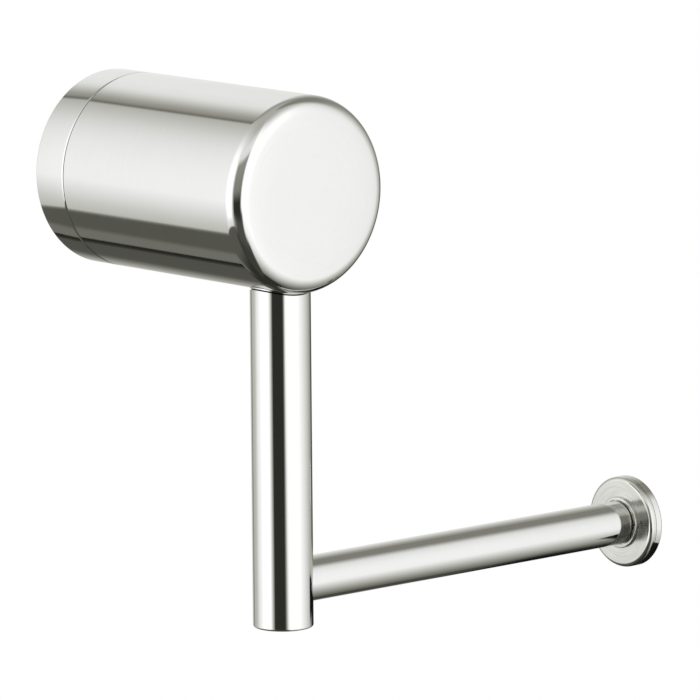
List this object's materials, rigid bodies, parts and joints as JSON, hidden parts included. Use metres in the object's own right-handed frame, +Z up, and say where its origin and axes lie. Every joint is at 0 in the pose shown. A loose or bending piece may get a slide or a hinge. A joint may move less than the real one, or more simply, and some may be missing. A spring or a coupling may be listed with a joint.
{
  "type": "toilet paper holder",
  "caption": "Wall-mounted toilet paper holder: round body on a wall bracket, drop rod and horizontal roll bar with a stop disc, all polished steel.",
  "frame": {"origin": "centre of the wall bracket's back face, on the wall plane and on the body's axis", "axes": "+Z up, +Y into the wall, so the holder stands out towards -Y; +X along the roll bar from the drop rod to the stop disc"},
  "size_m": [0.153, 0.082, 0.1425],
  "materials": {
    "polished_steel": "mirror-polished stainless steel",
    "turned_steel": "stainless steel with fine turning marks",
    "bracket_steel": "machined stainless steel, unpolished",
    "fastener_steel": "plain stainless fastener",
    "brass": "machined brass",
    "rubber": "black nitrile and foam rubber"
  },
  "bodies": {
    "wall_fixing": {"wall_bracket": "bracket_steel", "wall_gasket": "rubber", "rear_o_ring": "rubber", "front_o_ring": "rubber", "base_ring": "polished_steel"},
    "holder": {"body_shell": "polished_steel", "screw_boss": "bracket_steel", "rod_carrier": "brass", "grip_screw_upper": "fastener_steel", "grip_screw_lower": "fastener_steel", "drop_rod": "polished_steel", "joining_stud": "fastener_steel", "bar_tube": "polished_steel", "inner_bar_plug": "brass", "outer_bar_plug": "brass", "stop_disc": "turned_steel", "cap_o_ring": "rubber", "cap_stud": "fastener_steel", "end_cap": "polished_steel"},
    "lock_screw": {"locking_screw": "fastener_steel"}
  },
  "joints": [
    {"name": "body_release", "type": "slide", "parent": "wall_fixing", "child": "holder", "axis": [0, -1, 0], "range_m": [0, 0.014]},
    {"name": "locking_screw_travel", "type": "slide", "parent": "holder", "child": "lock_screw", "axis": [0, 0, -1], "range_m": [0, 0.0032]}
  ]
}
